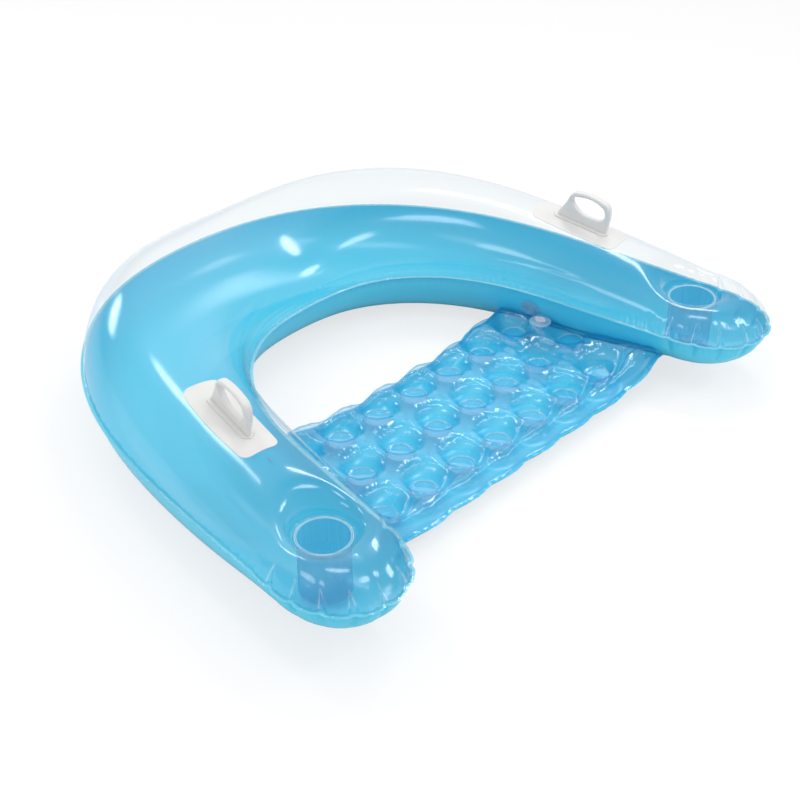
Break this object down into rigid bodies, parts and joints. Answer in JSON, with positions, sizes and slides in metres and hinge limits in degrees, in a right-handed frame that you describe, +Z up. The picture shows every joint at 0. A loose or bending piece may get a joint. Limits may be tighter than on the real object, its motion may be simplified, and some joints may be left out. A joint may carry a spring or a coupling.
{
  "type": "pool raft",
  "caption": "Inflated U-shaped pool raft with a clear top, a blue underside, a dimpled seat between its arms, cup holders, grab handles and push-in air valves.",
  "frame": {"origin": "on the floor under the middle of the raft's outline", "axes": "+Z up, +X towards the sitter's left arm, -Y out of the open side between the arms"},
  "size_m": [1.3458, 1.1832, 0.3355],
  "materials": {
    "clear_vinyl": "clear soft film, glossy",
    "blue_vinyl": "tinted see-through soft film, glossy",
    "white_vinyl": "opaque white soft vinyl, satin",
    "valve_vinyl": "milky soft vinyl, glossy"
  },
  "bodies": {
    "raft": {"ring_upper_sheet": "clear_vinyl", "ring_lower_sheet": "blue_vinyl", "seat_upper_sheet": "clear_vinyl", "seat_lower_sheet": "blue_vinyl", "cup_sleeve_left": "blue_vinyl", "cup_sleeve_right": "blue_vinyl", "cup_base_left": "blue_vinyl", "cup_base_right": "blue_vinyl", "handle_patch_left": "white_vinyl", "handle_patch_right": "white_vinyl", "handle_grip_left": "white_vinyl", "handle_grip_right": "white_vinyl", "ring_valve_base": "valve_vinyl", "seat_valve_base": "valve_vinyl"},
    "ring_stem": {"ring_valve_stem": "valve_vinyl"},
    "ring_plug": {"ring_valve_plug": "valve_vinyl"},
    "ring_flap": {"ring_valve_flap": "valve_vinyl"},
    "seat_stem": {"seat_valve_stem": "valve_vinyl"},
    "seat_plug": {"seat_valve_plug": "valve_vinyl"},
    "seat_flap": {"seat_valve_flap": "valve_vinyl"}
  },
  "joints": [
    {"name": "ring_stem_slide", "type": "slide", "parent": "raft", "child": "ring_stem", "axis": [-0.9233, -0.212, -0.3203], "range_m": [0, 0.012]},
    {"name": "ring_plug_hinge", "type": "hinge", "parent": "ring_stem", "child": "ring_plug", "pos_m": [0.36434, -0.10547, 0.08754], "axis": [0.3134, 0.0663, -0.9473], "range_deg": [0, 150]},
    {"name": "ring_flap_hinge", "type": "hinge", "parent": "ring_stem", "child": "ring_flap", "pos_m": [0.38698, -0.10417, 0.09513], "axis": [-0.3134, -0.0663, 0.9473], "range_deg": [0, 80], "stiffness_Nm_per_rad": 0.001, "springref_deg": -5.73},
    {"name": "seat_stem_slide", "type": "slide", "parent": "raft", "child": "seat_stem", "axis": [0, 0, 1], "range_m": [0, 0.012]},
    {"name": "seat_plug_hinge", "type": "hinge", "parent": "seat_stem", "child": "seat_plug", "pos_m": [0.3575, -0.14545, 0.0859], "axis": [-1, 0, 0], "range_deg": [0, 150]},
    {"name": "seat_flap_hinge", "type": "hinge", "parent": "seat_stem", "child": "seat_flap", "pos_m": [0.3575, -0.14925, 0.0623], "axis": [1, 0, 0], "range_deg": [0, 80], "stiffness_Nm_per_rad": 0.001, "springref_deg": -5.73}
  ]
}
